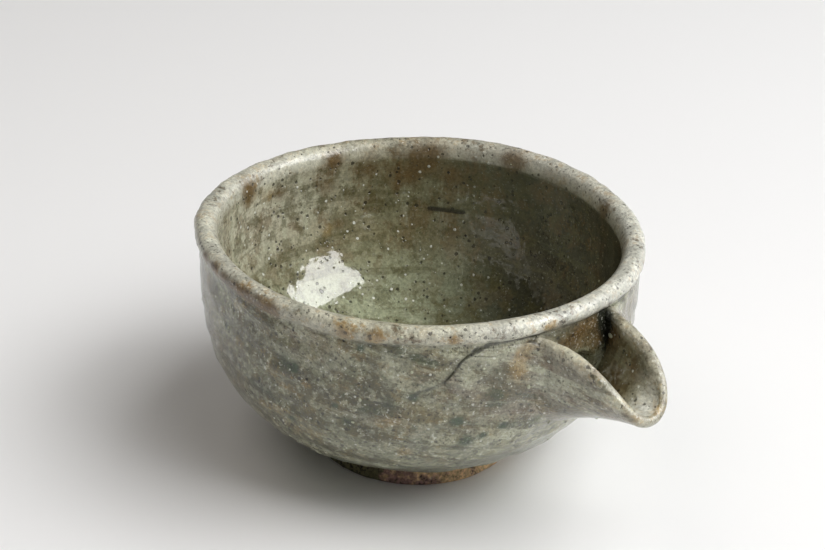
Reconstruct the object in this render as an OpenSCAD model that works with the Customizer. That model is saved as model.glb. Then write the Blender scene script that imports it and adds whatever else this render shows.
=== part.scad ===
// Katakuchi: a thrown stoneware pourer for sake, with an open spout luted over a pour hole.
// Millimetres, Z up. The foot stands on z = 0 around the bowl's axis and the spout points along +X.

/* [Bowl] */
// Outside diameter over the rolled rim
rim_d = 130; // [105:1:160]
// Height from the table to the top of the rim
bowl_h = 70; // [58:1:88]
// Thickness of the clay roll that finishes the rim
roll_d = 5.4; // [4:0.1:6.6]
// How far the wall under the roll stands back from the roll's outer edge
undercut = 1.8; // [1:0.1:3.5]
// Thickness of the wall under the rim
wall = 5; // [3.5:0.1:6.5]
// Thickness of the wall where it meets the foot
base_t = 7; // [5:0.1:9]
// Depth of the shallow well thrown into the floor
well = 1.4; // [0.5:0.1:3]
// How softly the roll turns over into the inside wall
lip_soft = 3; // [1.5:0.1:4.5]
// How far the base runs outwards before it turns up
base_run = 20.2; // [15:0.1:30]
// How far the base rises along that run
base_rise = 9.8; // [6:0.1:14]
// How full the belly stands out past the wall under the rim
belly_out = 2.8; // [1:0.1:6]
// How far down from the rim the wall keeps its upright line
belly_drop = 40.2; // [25:0.1:46]

/* [Foot] */
// Outside diameter of the foot on the table
foot_d = 57.4; // [45:0.2:70]
// Height of the foot
foot_h = 5; // [4.6:0.1:9]
// Width of the ring that stands on the table
foot_ring_w = 6.5; // [4:0.1:9]
// How far the foot draws in where it meets the bowl
foot_waist = 1.2; // [0:0.1:2]
// Bevel that keeps the foot's edges from chipping
foot_bevel = 0.7; // [0.3:0.1:1.2]

/* [Spout] */
// How far the lip reaches out past the bowl's wall
spout_l = 28.1; // [20:0.1:38]
// Width between the cheeks where they leave the wall
root_w = 28.4; // [22:0.1:36]
// Width between the cheeks' guide lines at the mouth
mouth_w = 21.4; // [16:0.1:26]
// How far the cheeks start below the rim's undercut
root_drop = 2.3; // [1.9:0.1:5]
// How far the lip lies below the cheeks' start
tip_drop = 16.3; // [11:0.1:19]
// Depth of the trough's keel below the cheeks' start, at the wall
keel_drop = 26.9; // [23:0.1:30]
// How full the trough's sides are where they meet the wall
root_full = 1.3; // [1:0.05:1.5]
// Length over which the cheeks draw in from the wall
cheek_run = 2; // [1:0.1:8]
// How far the cheeks dip just after they leave the wall
cheek_dip = 1.9; // [0:0.1:3]
// How far out the cheeks' crown lies
crown_run = 19.1; // [14:0.1:23]
// How high the cheeks' crown is pulled
crown_rise = 3.7; // [0:0.1:5]
// Thickness of the spout at its keel by the wall
spout_t = 4.8; // [3.6:0.1:6]
// Thickness of the spout's rounded edge
lip_t = 3.4; // [2.4:0.1:4]

/* [Joints] */
// Diameter of the pour hole cut through the wall behind the spout
hole_d = 16; // [10:0.5:18]
// How far the luting coil is smeared out along the spout
lute = 6; // [4:0.1:8]
// How far it is smeared out along the wall beside the spout
smear = 13; // [8:0.5:16]
// How far it is smeared out along the wall under the keel and at its two ends
smear_end = 6; // [4:0.5:8]
// Thickness that the smeared coil thins out to at its edges
lute_edge = 0.5; // [0.4:0.1:0.8]
// How much of the corner under its hollow face the coil fills
lute_fill = 0.35; // [0.2:0.05:0.6]
// Film of slip left between pieces that are luted together
slip = 0.12; // [0.08:0.02:0.3]

/* [Hidden] */
$fn = 120;

// Steps along the wall's curve, the rolled rim, the lip and the floor
wall_steps = 28;
roll_steps = 14;
lip_steps = 6;
floor_steps = 6;
// Rows of the spout from the wall to the lip, and columns from cheek to cheek. The coil covers the
// first rows, starts a column in from each cheek's edge and rounds off its ends over some columns
lute_rows = 3;
lute_start = 1;
lute_round = 11;
rows = 15;
cols = 44;
// Steps round the spout's half-round edge, over the coil's hollow face and along its seat on the wall
edge_steps = 6;
cove_steps = 7;
smear_steps = 8;
// Share of each cheek's edge that counts as the side of the spout, the rest as its front
side_share = 0.5;
// Small step for slopes taken by differences, and how far inside the spout's edge they are taken
eps = 0.002;
corner_keep = 0.06;

// Curves
function unit(v) = v / norm(v);
function bezier(p, t) =
    len(p) == 1 ? p[0] : bezier([for (i = [0:len(p) - 2]) p[i] + (p[i + 1] - p[i]) * t], t);

// The bowl's outline, as radius and height
rim_r = rim_d / 2;
roll_r = roll_d / 2;
roll_c = [rim_r - roll_r, bowl_h - roll_r];
wall_r = rim_r - undercut;
neck_z = roll_c[1] - sqrt(roll_r ^ 2 - (wall_r - roll_c[0]) ^ 2);
foot_r = foot_d / 2;
join_r = foot_r - foot_waist;
wall_curve = [
    [join_r, foot_h],
    [join_r + base_run, foot_h + base_rise],
    [wall_r + belly_out, neck_z - belly_drop],
    [wall_r, neck_z]
];
wall_slopes = [for (i = [0:2]) wall_curve[i + 1] - wall_curve[i]];
function wall_out(t) = bezier(wall_curve, t);
function wall_dir(t) = unit(bezier(wall_slopes, t));
function wall_in(t) =
    wall_out(t) + (base_t + (wall - base_t) * t) * [-wall_dir(t)[1], wall_dir(t)[0]];
lip_curve = [
    [roll_c[0], bowl_h],
    [roll_c[0] - lip_soft, bowl_h],
    wall_in(1) + lip_soft * wall_dir(1),
    wall_in(1)
];
floor_z = wall_in(0)[1] - well;
floor_curve = [
    wall_in(0),
    [wall_in(0)[0] - well * wall_dir(0)[0] / wall_dir(0)[1], floor_z],
    [0, floor_z]
];
roll_start = atan2(neck_z - roll_c[1], wall_r - roll_c[0]);
outside = [for (i = [0:wall_steps]) wall_out(i / wall_steps)];
roll = [for (i = [1:roll_steps]) let (a = roll_start + (90 - roll_start) * i / roll_steps)
    roll_c + roll_r * [cos(a), sin(a)]];
lip = [for (i = [1:lip_steps]) bezier(lip_curve, i / lip_steps)];
inside = [for (i = [1:wall_steps]) wall_in(1 - i / wall_steps)];
well_floor = [for (i = [1:floor_steps]) bezier(floor_curve, i / floor_steps)];

// The seat on the wall, a film of slip outside it: its radius at a height, its point at a width and
// height, and a point brought onto it
wall_heights = [for (p = outside) [p[1], p[0]]];
function seat_r(z) = lookup(z, wall_heights) + slip;
function seat_at(y, z) = [sqrt(seat_r(z) ^ 2 - y ^ 2), y, z];
function on_wall(p) =
    let (grow = seat_r(p[2]) / norm([p[0], p[1]]))
    [p[0] * grow, p[1] * grow, p[2]];

// The spout's edge, from the near cheek's root round the lip to the far cheek's root
root_z = neck_z - root_drop;
tip_z = root_z - tip_drop;
tip_x = wall_r + spout_l;
cheek = [
    seat_at(-root_w / 2, root_z),
    [wall_r + cheek_run, -mouth_w / 2, root_z - cheek_dip],
    [wall_r + crown_run, -mouth_w / 2, root_z + crown_rise],
    [tip_x, -mouth_w / 2, tip_z],
    [tip_x, 0, tip_z]
];
function far_side(p) = [p[0], -p[1], p[2]];
function edge(t) = t <= 0.5 ? bezier(cheek, 2 * t) : far_side(bezier(cheek, 2 - 2 * t));

// The seam where the trough's middle surface meets the wall
seam_low = root_z - keel_drop * 4 / 3;
seam_curve = [
    [-root_w / 2, root_z],
    [-root_w / 2 * root_full, seam_low],
    [root_w / 2 * root_full, seam_low],
    [root_w / 2, root_z]
];
function seam(w) = let (p = bezier(seam_curve, w)) seat_at(p[0], p[1]);

// The trough's middle surface, spanned between the seam and the edge: s from wall to lip, w across
side_end = side_share / 2;
function front(w) = edge(side_end + (1 - 2 * side_end) * w);
function near_edge(s) = edge(side_end * s);
function trough(s, w) =
    (1 - s) * seam(w) + s * front(w)
    + (1 - w) * near_edge(s) + w * far_side(near_edge(s))
    - (1 - s) * ((1 - w) * seam(0) + w * seam(1))
    - s * ((1 - w) * front(0) + w * front(1));
// Slopes are taken a little inside the edge, because side and front run into one line at its corners
function trough_normal(s, w) =
    let (a = min(s, 1 - corner_keep), b = min(max(w, corner_keep), 1 - corner_keep))
    -unit(cross(trough(a + eps, b) - trough(a - eps, b), trough(a, b + eps) - trough(a, b - eps)));
function trough_t(s, w) = lip_t + (spout_t - lip_t) * (1 - s) * sin(180 * w);

// The spout's grid: the first rows end where the luting coil ends
lute_share = lute / norm(trough(1, 0.5) - trough(0, 0.5));
function row_s(i) =
    i <= lute_rows ? lute_share * i / lute_rows
    : lute_share + (1 - lute_share) * (i - lute_rows) / (rows - lute_rows);
function seated(i, p) = i == 0 || norm([p[0], p[1]]) < seat_r(p[2]) ? on_wall(p) : p;
middle = [for (i = [0:rows]) [for (j = [0:cols]) trough(row_s(i), j / cols)]];
normals = [for (i = [0:rows]) [for (j = [0:cols]) trough_normal(row_s(i), j / cols)]];
function skin_point(i, j, side) =
    seated(i, middle[i][j] + side * normals[i][j] * trough_t(row_s(i), j / cols) / 2);
outer_skin = [for (i = [0:rows]) [for (j = [0:cols]) skin_point(i, j, 1)]];
inner_skin = [for (i = [0:rows]) [for (j = [0:cols]) skin_point(i, j, -1)]];

// The grid points along the spout's edge, and the edge's half round there
edge_count = 2 * rows + cols;
function edge_cell(b) =
    b <= rows ? [b, 0] : b <= rows + cols ? [rows, b - rows] : [edge_count - b, cols];
function edge_point(b) = let (c = edge_cell(b)) middle[c[0]][c[1]];
function edge_round(b, k) =
    let (
        c = edge_cell(b),
        n = normals[c[0]][c[1]],
        along = edge_point(min(edge_count, b + 1)) - edge_point(max(0, b - 1)),
        a = 180 * k / edge_steps
    )
    seated(c[0], middle[c[0]][c[1]] + lip_t / 2 * (cos(a) * n + sin(a) * unit(cross(n, along))));

// The pour hole's floor lies level with the trough's floor at the wall
hole_z = trough(0, 0.5)[2] + spout_t / 2 + hole_d / 2;

function two_triangles(a, b, c, d) = [[a, b, c], [a, c, d]];
function flat_list(lists) = [for (l = lists) each l];

module bowl() {
    color("#8f8d7b")
    difference() {
        rotate_extrude()
            polygon(concat([[0, foot_h]], outside, roll, lip, inside, well_floor));
        translate([0, 0, hole_z])
            rotate([0, 90, 0])
                cylinder(d = hole_d, h = rim_r);
    }
}

module foot_ring() {
    in_r = foot_r - foot_ring_w;
    color("#5a4634")
    rotate_extrude()
        polygon([
            [in_r + foot_bevel, 0],
            [foot_r - foot_bevel, 0],
            [foot_r, foot_bevel],
            [join_r, foot_h],
            [in_r - foot_waist, foot_h],
            [in_r, foot_bevel]
        ]);
}

module spout() {
    grid = (rows + 1) * (cols + 1);
    function outer_id(i, j) = i * (cols + 1) + j;
    function inner_id(i, j) = grid + outer_id(i, j);
    function round_id(b, k) =
        let (c = edge_cell(b))
        k == 0 ? outer_id(c[0], c[1])
        : k == edge_steps ? inner_id(c[0], c[1])
        : 2 * grid + b * (edge_steps - 1) + k - 1;
    rounds_count = (edge_count + 1) * (edge_steps - 1);
    function seat_id(j) = 2 * grid + rounds_count + j;
    points = concat(
        flat_list(outer_skin),
        flat_list(inner_skin),
        [for (b = [0:edge_count], k = [1:edge_steps - 1]) edge_round(b, k)],
        middle[0]
    );
    skins = [for (i = [0:rows - 1], j = [0:cols - 1]) each concat(
        two_triangles(outer_id(i, j), outer_id(i + 1, j), outer_id(i + 1, j + 1), outer_id(i, j + 1)),
        two_triangles(inner_id(i, j), inner_id(i, j + 1), inner_id(i + 1, j + 1), inner_id(i + 1, j))
    )];
    rounds = [for (b = [0:edge_count - 1], k = [0:edge_steps - 1]) each
        two_triangles(round_id(b, k), round_id(b, k + 1), round_id(b + 1, k + 1), round_id(b + 1, k))];
    // The seat on the wall bends along the seam's own points
    root = [for (j = [0:cols - 1]) each concat(
        two_triangles(outer_id(0, j), outer_id(0, j + 1), seat_id(j + 1), seat_id(j)),
        two_triangles(seat_id(j), seat_id(j + 1), inner_id(0, j + 1), inner_id(0, j))
    )];
    near_end = [for (k = [0:edge_steps - 1]) [seat_id(0), round_id(0, k + 1), round_id(0, k)]];
    far_end = [for (k = [0:edge_steps - 1])
        [seat_id(cols), round_id(edge_count, k), round_id(edge_count, k + 1)]];
    color("#96927f")
    polyhedron(points, concat(skins, rounds, root, near_end, far_end));
}

module luting_coil() {
    // One section of the coil: out along the spout's skin, over the hollow face and back along the wall
    function section(j) =
        let (
            root = outer_skin[0][j],
            out = unit([root[0], root[1], 0]),
            away = unit(normals[0][j] - out * (normals[0][j] * out)),
            grown = min(1, min(j, cols - j) / lute_round),
            leg = (smear_end + (smear - smear_end) * sin(360 * j / cols) ^ 2) * sqrt(grown * (2 - grown)),
            up = [for (i = [1:lute_rows]) outer_skin[i][j] + slip * normals[i][j]],
            top = up[lute_rows - 1] + lute_edge * normals[lute_rows][j],
            rise = top - on_wall(root + slip * away),
            cove = [for (k = [0:cove_steps])
                let (
                    t = k / cove_steps,
                    rise_left = (1 - t) * (1 - t + lute_fill * t),
                    leg_gone = t * (t + lute_fill * (1 - t))
                )
                on_wall(root + (slip + leg * leg_gone) * away) + rise * rise_left + lute_edge * leg_gone * out],
            back = [for (k = [smear_steps:-1:0]) on_wall(root + (slip + leg * k / smear_steps) * away)]
        )
        concat(up, cove, back);
    rings = [for (j = [lute_start:cols - lute_start]) section(j)];
    n = len(rings[0]);
    last = len(rings) - 1;
    sides = [for (j = [0:last - 1], k = [0:n - 1]) each two_triangles(
        j * n + k, j * n + (k + 1) % n, (j + 1) * n + (k + 1) % n, (j + 1) * n + k)];
    near_end = [for (k = [1:n - 2]) [0, k + 1, k]];
    far_end = [for (k = [1:n - 2]) [last * n, last * n + k, last * n + k + 1]];
    color("#8a8470")
    polyhedron(flat_list(rings), concat(sides, near_end, far_end));
}

bowl();
foot_ring();
spout();
luting_coil();
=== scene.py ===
import math
import bpy
import numpy as np
from mathutils import Matrix, Vector


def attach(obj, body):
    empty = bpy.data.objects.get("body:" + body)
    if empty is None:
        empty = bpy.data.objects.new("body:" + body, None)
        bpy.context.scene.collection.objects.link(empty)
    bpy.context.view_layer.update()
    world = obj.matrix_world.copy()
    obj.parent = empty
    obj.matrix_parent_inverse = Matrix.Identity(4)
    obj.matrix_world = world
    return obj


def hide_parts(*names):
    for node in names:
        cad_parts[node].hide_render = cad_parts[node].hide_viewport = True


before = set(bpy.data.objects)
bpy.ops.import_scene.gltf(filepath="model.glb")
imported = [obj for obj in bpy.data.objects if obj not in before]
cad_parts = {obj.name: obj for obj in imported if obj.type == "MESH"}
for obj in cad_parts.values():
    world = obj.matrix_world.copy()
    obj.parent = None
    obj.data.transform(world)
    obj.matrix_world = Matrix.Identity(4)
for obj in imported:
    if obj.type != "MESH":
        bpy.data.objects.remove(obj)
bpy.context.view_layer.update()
scene = bpy.context.scene
mm = 0.001


# Node helpers: a Wire is a node's output that can stand in a sum, and addNode gives the first one
class Wire:
    def __init__(self, socket):
        self.socket = socket
        self.tree = socket.id_data

    def calc(self, operation, *others):
        values = dict(enumerate((self, *others)))
        return addNode(self.tree, "ShaderNodeMath", values, operation=operation)

    def __add__(self, other):
        return self.calc("ADD", other)

    def __sub__(self, other):
        return self.calc("SUBTRACT", other)

    def __mul__(self, other):
        return self.calc("MULTIPLY", other)

    def __rsub__(self, other):
        return self * -1.0 + other

    __radd__ = __add__
    __rmul__ = __mul__

    def ramp(self, low, high, outLow=0.0, outHigh=1.0):
        values = dict(enumerate((self, low, high, outLow, outHigh)))
        return addNode(self.tree, "ShaderNodeMapRange", values, interpolation_type="SMOOTHSTEP")


def plug(value, socket):
    if isinstance(value, Wire):
        socket.id_data.links.new(value.socket, socket)
    else:
        socket.default_value = value


def setInputs(node, values):
    for name, value in values.items():
        plug(value, node.inputs[name])


def addNode(tree, kind, inputs=None, **settings):
    node = tree.nodes.new(kind)
    for name, value in settings.items():
        setattr(node, name, value)
    setInputs(node, inputs or {})
    return Wire(node.outputs[0]) if node.outputs else None


def output(wire, name):
    return Wire(wire.socket.node.outputs[name])


def field(tree, name):
    return addNode(tree, "GeometryNodeInput" + name)


def apart(vector):
    node = addNode(vector.tree, "ShaderNodeSeparateXYZ", {"Vector": vector})
    return [output(node, n) for n in "XYZ"]


def together(x, y, z):
    return addNode(x.tree, "ShaderNodeCombineXYZ", {"X": x, "Y": y, "Z": z})


def shift(geometry, **where):
    return addNode(geometry.tree, "GeometryNodeSetPosition", {"Geometry": geometry, **where})


def endTree(geometry, material):
    tree = geometry.tree
    real = addNode(tree, "GeometryNodeRealizeInstances", {"Geometry": geometry})
    dressed = addNode(tree, "GeometryNodeSetMaterial", {"Geometry": real, "Material": material})
    addNode(tree, "NodeGroupOutput", {0: dressed})
    return tree


def newTree(name, sizes):
    tree = bpy.data.node_groups.new(name, "GeometryNodeTree")
    tree.is_modifier = True
    for side in ("INPUT", "OUTPUT"):
        tree.interface.new_socket("Geometry", in_out=side, socket_type="NodeSocketGeometry")
    kinds = {float: "NodeSocketFloat", int: "NodeSocketInt", bpy.types.Material: "NodeSocketMaterial"}
    for label, value in sizes.items():
        tree.interface.new_socket(label, in_out="INPUT", socket_type=kinds[type(value)])
    given = tree.nodes.new("NodeGroupInput")
    wires = {s.name: Wire(s) for s in given.outputs if s.name}
    return tree, wires


def useTree(obj, tree, sizes):
    modifier = obj.modifiers.new(tree.name, "NODES")
    modifier.node_group = tree
    for item in tree.interface.items_tree:
        if item.in_out == "INPUT" and item.name in sizes:
            modifier[item.identifier] = sizes[item.name]


def addObject(name, data):
    obj = bpy.data.objects.new(name, data)
    scene.collection.objects.link(obj)
    return obj


def settle(obj, name):
    # the evaluated shape becomes a plain mesh at the origin, and the worked object goes
    bpy.context.view_layer.update()
    ready = obj.evaluated_get(bpy.context.evaluated_depsgraph_get())
    mesh = bpy.data.meshes.new_from_object(ready)
    bpy.data.objects.remove(obj)
    mesh.name = name
    print(name, len(mesh.vertices), "points", len(mesh.polygons), "faces")
    return addObject(name, mesh)


def meshObject(name, points, faces, edges=()):
    mesh = bpy.data.meshes.new(name)
    mesh.from_pydata(np.asarray(points).tolist(), edges, faces)
    mesh.validate()
    mesh.shade_smooth()
    return addObject(name, mesh)


def gridFaces(ids):
    corners = (ids[:-1, :-1], ids[1:, :-1], ids[1:, 1:], ids[:-1, 1:])
    return [tuple(quad) for quad in np.stack(corners, -1).reshape(-1, 4).tolist()]


# Camera: the photo's view, turned from the picture's own axes to the part's
view = {"turn": 47.6, "height": 26.376, "roll": 1.504, "distance": 711.16, "aim": (-1.731, 0, 53.517),
        "lens": 107.515, "sensor": 36, "nearest": 20.0}


def aimCamera():
    turn, rise, roll = (math.radians(view[k]) for k in ("turn", "height", "roll"))
    cam = addObject("photoCamera", bpy.data.cameras.new("photoCamera"))
    cam.data.lens = view["lens"]
    cam.data.sensor_width = view["sensor"]
    cam.data.clip_start = view["nearest"] * mm
    cam.matrix_world = (Matrix.Rotation(turn, 4, "Z") @ Matrix.Translation(Vector(view["aim"]) * mm)
                        @ Matrix.Rotation(math.pi / 2 - rise, 4, "X") @ Matrix.Rotation(roll, 4, "Z")
                        @ Matrix.Translation((0, 0, view["distance"] * mm)))
    scene.camera = cam


aimCamera()
print("camera set")


# Studio: a pale table and soft lamps for the window, its shine on the glaze and the room around
studio = {
    "table": (0.86, 0.86, 0.86), "tableReach": 4.0, "tableRough": 0.9, "tableShine": 0.1, "aimHeight": 0.04,
    "room": 0.01,
}
white = (1, 1, 1)
# Each lamp's angle from the right of the picture and from the table, distance, width and height in metres,
# watts, tint, and whether it lights the clay and shines on the glaze
lamps = {
    "windowLight": (-19, 45, 1.4, 1.12, 0.81, 9.3, white, True, False),
    "windowGlint": (-15, 36, 1.45, 1.16, 0.84, 22.5, white, False, True),
    "overhead": (-19, 61, 1.4, 1.4, 1.0, 15.5, white, True, False),
    "lowSide": (34, 16, 1.4, 1.0, 0.5, 3.0, white, True, True),
    "roomFill": (178, 62, 1.4, 1.1, 0.9, 3.8, (1, 0.93, 0.86), True, False),
    "frontFill": (-85, 34, 1.4, 1.2, 0.9, 2.2, (1, 0.97, 0.94), True, False),
}


def addLamp(name, turn, height, away, width, tall, power, tint, lights, shines):
    turn = math.radians(turn + view["turn"])
    rise = math.radians(height)
    way = Vector((math.cos(rise) * math.cos(turn), math.cos(rise) * math.sin(turn), math.sin(rise)))
    light = bpy.data.lights.new(name, "AREA")
    light.shape = "RECTANGLE"
    light.size = width
    light.size_y = tall
    light.energy = power
    light.color = tint
    obj = addObject(name, light)
    obj.location = way * away + Vector((0, 0, studio["aimHeight"]))
    obj.rotation_euler = way.to_track_quat("Z", "Y").to_euler()
    obj.visible_diffuse = lights
    obj.visible_glossy = shines


def setStudio():
    for name, facts in lamps.items():
        addLamp(name, *facts)
    world = bpy.data.worlds.new("room")
    world.use_nodes = True
    setInputs(world.node_tree.nodes["Background"], {"Color": (*white, 1), "Strength": studio["room"]})
    scene.world = world
    scene.view_settings.view_transform = "Standard"
    reach = studio["tableReach"]
    corners = [(-reach, -reach, 0), (reach, -reach, 0), (reach, reach, 0), (-reach, reach, 0)]
    table = meshObject("tableTop", corners, [(0, 1, 2, 3)])
    paper = bpy.data.materials.new("paperTable")
    paper.use_nodes = True
    setInputs(paper.node_tree.nodes["Principled BSDF"], {"Base Color": (*studio["table"], 1),
              "Roughness": studio["tableRough"], "Specular IOR Level": studio["tableShine"]})
    table.data.materials.append(paper)


setStudio()
print("studio set")


# Shapes shared by the pieces, in millimetres
bowl = {
    "rimDiameter": 130.0, "height": 70.0, "roll": 5.4, "undercut": 1.8, "wall": 5.0, "baseThick": 7.0,
    "well": 1.4, "lipSoft": 3.0, "baseRun": 20.2, "baseRise": 9.8, "bellyOut": 2.8, "bellyDrop": 40.2,
    "holeDiameter": 16.0, "wallSteps": 90, "bendSteps": 31, "rollSteps": 40, "baseSteps": 24,
}
foot = {
    "diameter": 57.4, "height": 5.0, "ring": 6.5, "waist": 1.2, "bevel": 0.7, "sunk": 0.9, "turnSteps": 220,
    "stepLength": 0.5,
}
spout = {
    "length": 28.1, "rootWidth": 28.4, "mouthWidth": 21.4, "rootDrop": 2.3, "tipDrop": 16.3, "keelDrop": 26.9,
    "rootFull": 1.3, "cheekRun": 2.0, "cheekDip": 1.9, "crownRun": 19.1, "crownRise": 3.7, "thick": 4.8,
    "lipThick": 3.4, "sideShare": 0.5, "sunk": 0.8, "rows": 76, "columns": 152, "roundSteps": 12,
    "normalRows": (0.003, 0.94), "normalSides": (0.06, 0.94), "normalStep": 0.002,
    "insideFade": (0.02, 0.4), "insideLeast": 0.2, "lipFade": (0.62, 0.9), "lipShare": 0.85,
}


def unit(v):
    return v / np.maximum(np.linalg.norm(v, axis=-1, keepdims=True), 1e-12)


def bezier(points, t):
    t = np.asarray(t, float)[..., None]
    points = [np.asarray(p, float) for p in points]
    while len(points) > 1:
        points = [a + (b - a) * t for a, b in zip(points, points[1:])]
    return points[0] + 0 * t


def softStep(x, low, high):
    t = np.clip((x - low) / (high - low), 0, 1)
    return t * t * (3 - 2 * t)


rimR = bowl["rimDiameter"] / 2
rollR = bowl["roll"] / 2
rollC = np.array((rimR - rollR, bowl["height"] - rollR))
wallR = rimR - bowl["undercut"]
neckZ = float(rollC[1] - math.sqrt(rollR ** 2 - (wallR - rollC[0]) ** 2))
joinR = foot["diameter"] / 2 - foot["waist"]
wallCurve = [
    (joinR, foot["height"]),
    (joinR + bowl["baseRun"], foot["height"] + bowl["baseRise"]),
    (wallR + bowl["bellyOut"], neckZ - bowl["bellyDrop"]),
    (wallR, neckZ),
]
wallSlopes = [np.subtract(b, a) for a, b in zip(wallCurve, wallCurve[1:])]


def wallOut(t):
    return bezier(wallCurve, t)


def wallIn(t):
    way = unit(bezier(wallSlopes, t))
    thick = bowl["baseThick"] + (bowl["wall"] - bowl["baseThick"]) * np.asarray(t, float)
    return wallOut(t) + thick[..., None] * np.stack([-way[..., 1], way[..., 0]], -1)


def bowlProfile():
    t = np.linspace(0, 1, bowl["wallSteps"])
    few = np.linspace(0, 1, bowl["bendSteps"])
    topIn = wallIn(np.array(1.0))
    topWay = unit(np.array(wallSlopes[2]))
    lip = [(rollC[0], bowl["height"]), (rollC[0] - bowl["lipSoft"], bowl["height"]),
           topIn + bowl["lipSoft"] * topWay, topIn]
    start = math.atan2(neckZ - rollC[1], wallR - rollC[0])
    arc = start + (math.pi / 2 - start) * np.linspace(0, 1, bowl["rollSteps"])
    roll = rollC + rollR * np.stack([np.cos(arc), np.sin(arc)], -1)
    baseIn = wallIn(np.array(0.0))
    baseWay = unit(np.array(wallSlopes[0]))
    floorZ = baseIn[1] - bowl["well"]
    floor = [baseIn, (baseIn[0] - bowl["well"] * baseWay[0] / baseWay[1], floorZ), (0, floorZ)]
    across = np.linspace(0, joinR, bowl["baseSteps"])
    under = np.stack([across, np.full(len(across), foot["height"])], -1)
    return np.concatenate([under[:-1], wallOut(t), roll[1:], bezier(lip, few)[1:], wallIn(1 - t)[1:],
                           bezier(floor, few)[1:]])


wallTable = wallOut(np.linspace(0, 1, 400))


def wallRadius(z):
    return np.interp(z, wallTable[:, 1], wallTable[:, 0])


def onWall(p):
    p = np.asarray(p, float)
    grow = wallRadius(p[..., 2]) / np.linalg.norm(p[..., :2], axis=-1)
    return np.stack([p[..., 0] * grow, p[..., 1] * grow, p[..., 2]], -1)


def spin(radius, a, z):
    return np.stack([radius * np.cos(a), radius * np.sin(a), z + 0 * a], -1)


def aroundAxis(radius, turn, z):
    return spin(radius, np.radians(turn), z)


def atWall(turn, z):
    return aroundAxis(wallRadius(z), turn, z)


# Hand-made unevenness that every clay piece shares: an oval rim, throwing ridges, dents and grit
hand = {
    "Oval": 1.42 * mm, "Oval Turn": math.radians(23.0), "Sway Two": 0.49 * mm, "Sway Three": 0.44 * mm,
    "Two Turn": math.radians(-159.7), "Three Turn": math.radians(30.7), "Sway From": 12.0 * mm,
    "Sway To": 66.0 * mm, "Ridge Depth": 0.22 * mm, "Ridge Pitch": 7.5 * mm, "Dent Depth": 1.6 * mm,
    "Dent Size": 17.0 * mm, "Lump Depth": 0.9 * mm, "Lump Size": 6.0 * mm, "Grit Depth": 0.4 * mm,
    "Grit Size": 2.2 * mm, "Calm Inside": 0.2, "Seed": 3.0,
}


def handTree():
    tree, size = newTree("handMade", {**hand, "Clay": glazeMat})
    place = field(tree, "Position")
    x, y, z = apart(place)
    turn = y.calc("ARCTAN2", x)
    kept = addNode(tree, "GeometryNodeStoreNamedAttribute", {"Geometry": size["Geometry"], "Name": "rest",
                   "Value": place}, data_type="FLOAT_VECTOR", domain="POINT")
    # towards the rim the wall turns oval and sways in height
    grown = z.ramp(size["Sway From"], size["Sway To"])
    out = (turn * 2 + size["Oval Turn"]).calc("COSINE") * size["Oval"] * grown
    lift = (turn * 2 + size["Two Turn"]).calc("COSINE") * size["Sway Two"]
    lift = (lift + (turn * 3 + size["Three Turn"]).calc("COSINE") * size["Sway Three"]) * grown
    way = together(out * turn.calc("COSINE"), out * turn.calc("SINE"), lift)
    swayed = shift(kept, Offset=way)

    def lumps(length, detail, start):
        node = addNode(tree, "ShaderNodeTexNoise", {"Vector": place, "W": size["Seed"] + start,
                       "Scale": length.calc("POWER", -1.0), "Detail": detail, "Roughness": 0.5},
                       noise_dimensions="4D")
        return node - 0.5

    dents = lumps(size["Dent Size"], 1.0, 0.0)
    bumps = lumps(size["Lump Size"], 1.5, 4.0)
    grit = lumps(size["Grit Size"], 1.0, 9.0)
    # throwing ridges climb the wall as one spiral and fade in and out
    climb = z.calc("DIVIDE", size["Ridge Pitch"]) * math.tau + turn + dents * 9.0
    ridge = climb.calc("SINE") * lumps(size["Dent Size"] * 1.7, 0.0, 13.0).ramp(-0.15, 0.2, 0.15, 1.0)
    depth = dents * size["Dent Depth"] + bumps * size["Lump Depth"] + grit * size["Grit Depth"]
    depth = depth + ridge * size["Ridge Depth"]
    # the side that faces the axis was smoothed with a rib
    normal = field(tree, "Normal")
    faceX, faceY, _ = apart(normal)
    outward = faceX * turn.calc("COSINE") + faceY * turn.calc("SINE")
    depth = depth * outward.ramp(-0.3, 0.3, size["Calm Inside"], 1.0)
    push = addNode(tree, "ShaderNodeVectorMath", {0: normal, "Scale": depth}, operation="SCALE")
    return endTree(shift(swayed, Offset=push), size["Clay"])


def handShape(source, name, sizes, clay):
    useTree(source, handMade, {**sizes, "Clay": clay})
    return settle(source, name)


# Glaze: its colours as they look in plain light, its slant, gloss and bumps
def tone(red, green, blue):
    return (*(((c / 255 + 0.055) / 1.055) ** 2.4 for c in (red, green, blue)), 1)


glaze = {
    "olive": tone(136, 128, 96), "celadon": tone(154, 160, 132), "lilac": tone(136, 128, 114),
    "deep": tone(124, 117, 88), "brown": tone(98, 77, 46), "umber": tone(82, 78, 50),
    "shade": tone(32, 29, 18), "ochre": tone(150, 121, 68), "pale": tone(178, 180, 156),
    "cream": tone(204, 201, 180), "pool": tone(50, 70, 46), "iron": tone(40, 37, 30),
    "gapShade": tone(46, 48, 38), "grain": tone(218, 219, 209), "bare": tone(112, 92, 68),
    "slant": 0.22, "slantTurn": 47.6, "gloss": 1.54, "bumpStrength": 0.6, "bumpDepth": 0.6 * mm,
    "raggedScale": 1200.0, "raggedReach": 0.5 * mm, "coat": 0.5, "coatRough": 0.025, "coatGloss": 1.5,
    "grainRough": 0.25,
}
plain = (1, 1, 1)
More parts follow.
